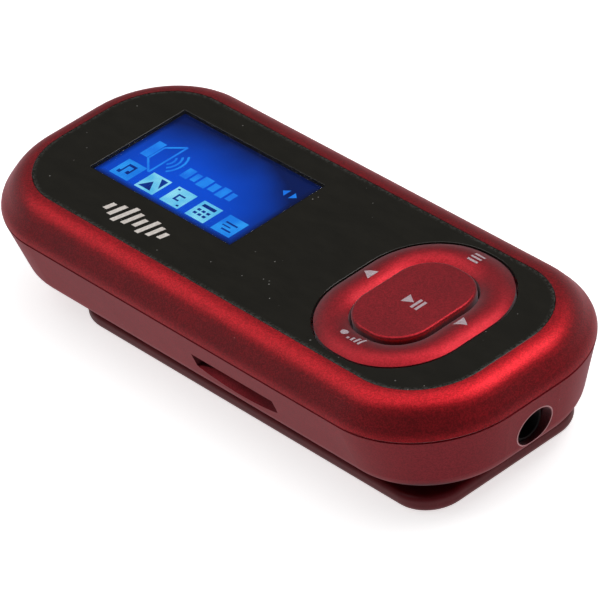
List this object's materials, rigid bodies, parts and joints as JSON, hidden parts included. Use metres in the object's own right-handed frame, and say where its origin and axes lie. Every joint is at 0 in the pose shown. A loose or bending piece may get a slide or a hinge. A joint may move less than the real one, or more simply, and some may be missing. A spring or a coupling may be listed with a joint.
{
  "type": "digital audio player",
  "caption": "Pocket digital audio player with a small display, a four-way ring and centre button, a headphone socket, a card slot and a spring clip.",
  "frame": {"origin": "centre of the footprint on the surface the player lies on, under its clip", "axes": "+X along the body to the headphone end, +Z out of the display face, -Y to the card slot side"},
  "size_m": [0.0702, 0.0298, 0.0141],
  "materials": {
    "upper_paint": "satin metallic red",
    "lower_paint": "satin metallic red, slightly duller than the upper shell",
    "black_window": "gloss black acrylic, printed from behind",
    "black_tape": "matt",
    "display_glass": "blue backlit display",
    "white_plastic": "satin",
    "ribbon": "satin amber film",
    "board": "green solder mask",
    "chip_black": "matt moulded resin",
    "plated_steel": "bright nickel plating",
    "ceramic": "satin",
    "black_plastic": "satin",
    "key_paint": "satin metallic dark red",
    "battery_foil": "matt pouch foil",
    "amber_tape": "satin",
    "lead_red": "gloss",
    "lead_black": "gloss",
    "slider_plastic": "satin dark red",
    "soft_rubber": "matt",
    "clip_plastic": "gloss dark red",
    "spring_steel": "bright wire",
    "print_mark": "pale screen-printed ink",
    "screen_image": "lit display symbols"
  },
  "bodies": {
    "casing": {"top_shell": "upper_paint", "bottom_shell": "lower_paint", "front_window": "black_window", "window_adhesive": "black_tape", "display_panel": "display_glass", "display_tray": "white_plastic", "display_flex": "ribbon", "flex_connector": "white_plastic", "main_board": "board", "processor": "chip_black", "flash_memory": "chip_black", "crystal": "plated_steel", "small_parts": "ceramic", "key_switches": "plated_steel", "switch_plungers": "black_plastic", "battery": "battery_foil", "battery_circuit": "board", "battery_tape": "amber_tape", "battery_lead_positive": "lead_red", "battery_lead_negative": "lead_black", "headphone_jack": "black_plastic", "jack_contacts": "plated_steel", "card_socket_shell": "plated_steel", "card_socket_base": "black_plastic", "usb_shell": "plated_steel", "usb_tongue": "black_plastic", "slide_switch": "plated_steel", "microphone": "plated_steel", "mic_gasket": "soft_rubber", "case_screws": "plated_steel", "clip_pin": "plated_steel", "clip_spring": "spring_steel"},
    "rocker": {"ring_rocker": "black_plastic"},
    "ring": {"nav_ring": "key_paint"},
    "button": {"play_button": "key_paint"},
    "slider": {"power_slider": "slider_plastic"},
    "clip": {"clip": "clip_plastic"}
  },
  "joints": [
    {"name": "button_press", "type": "slide", "parent": "casing", "child": "button", "axis": [0, 0, -1], "range_m": [0, 0.00028], "stiffness_N_per_m": 3000, "springref_m": -0.0002},
    {"name": "ring_left_right", "type": "hinge", "parent": "casing", "child": "rocker", "pos_m": [0.0187, 0, 0.0095], "axis": [0, 1, 0], "range_deg": [-1.35, 1.35], "stiffness_Nm_per_rad": 0.25},
    {"name": "ring_up_down", "type": "hinge", "parent": "rocker", "child": "ring", "pos_m": [0.0187, 0, 0.0095], "axis": [1, 0, 0], "range_deg": [-1.1, 1.1], "stiffness_Nm_per_rad": 0.25},
    {"name": "power_slide", "type": "slide", "parent": "casing", "child": "slider", "axis": [1, 0, 0], "range_m": [0, 0.0018]},
    {"name": "clip_open", "type": "hinge", "parent": "casing", "child": "clip", "pos_m": [-0.016, 0, 0.0021], "axis": [0, 1, 0], "range_deg": [0, 10], "stiffness_Nm_per_rad": 0.35, "springref_deg": -20.05}
  ]
}
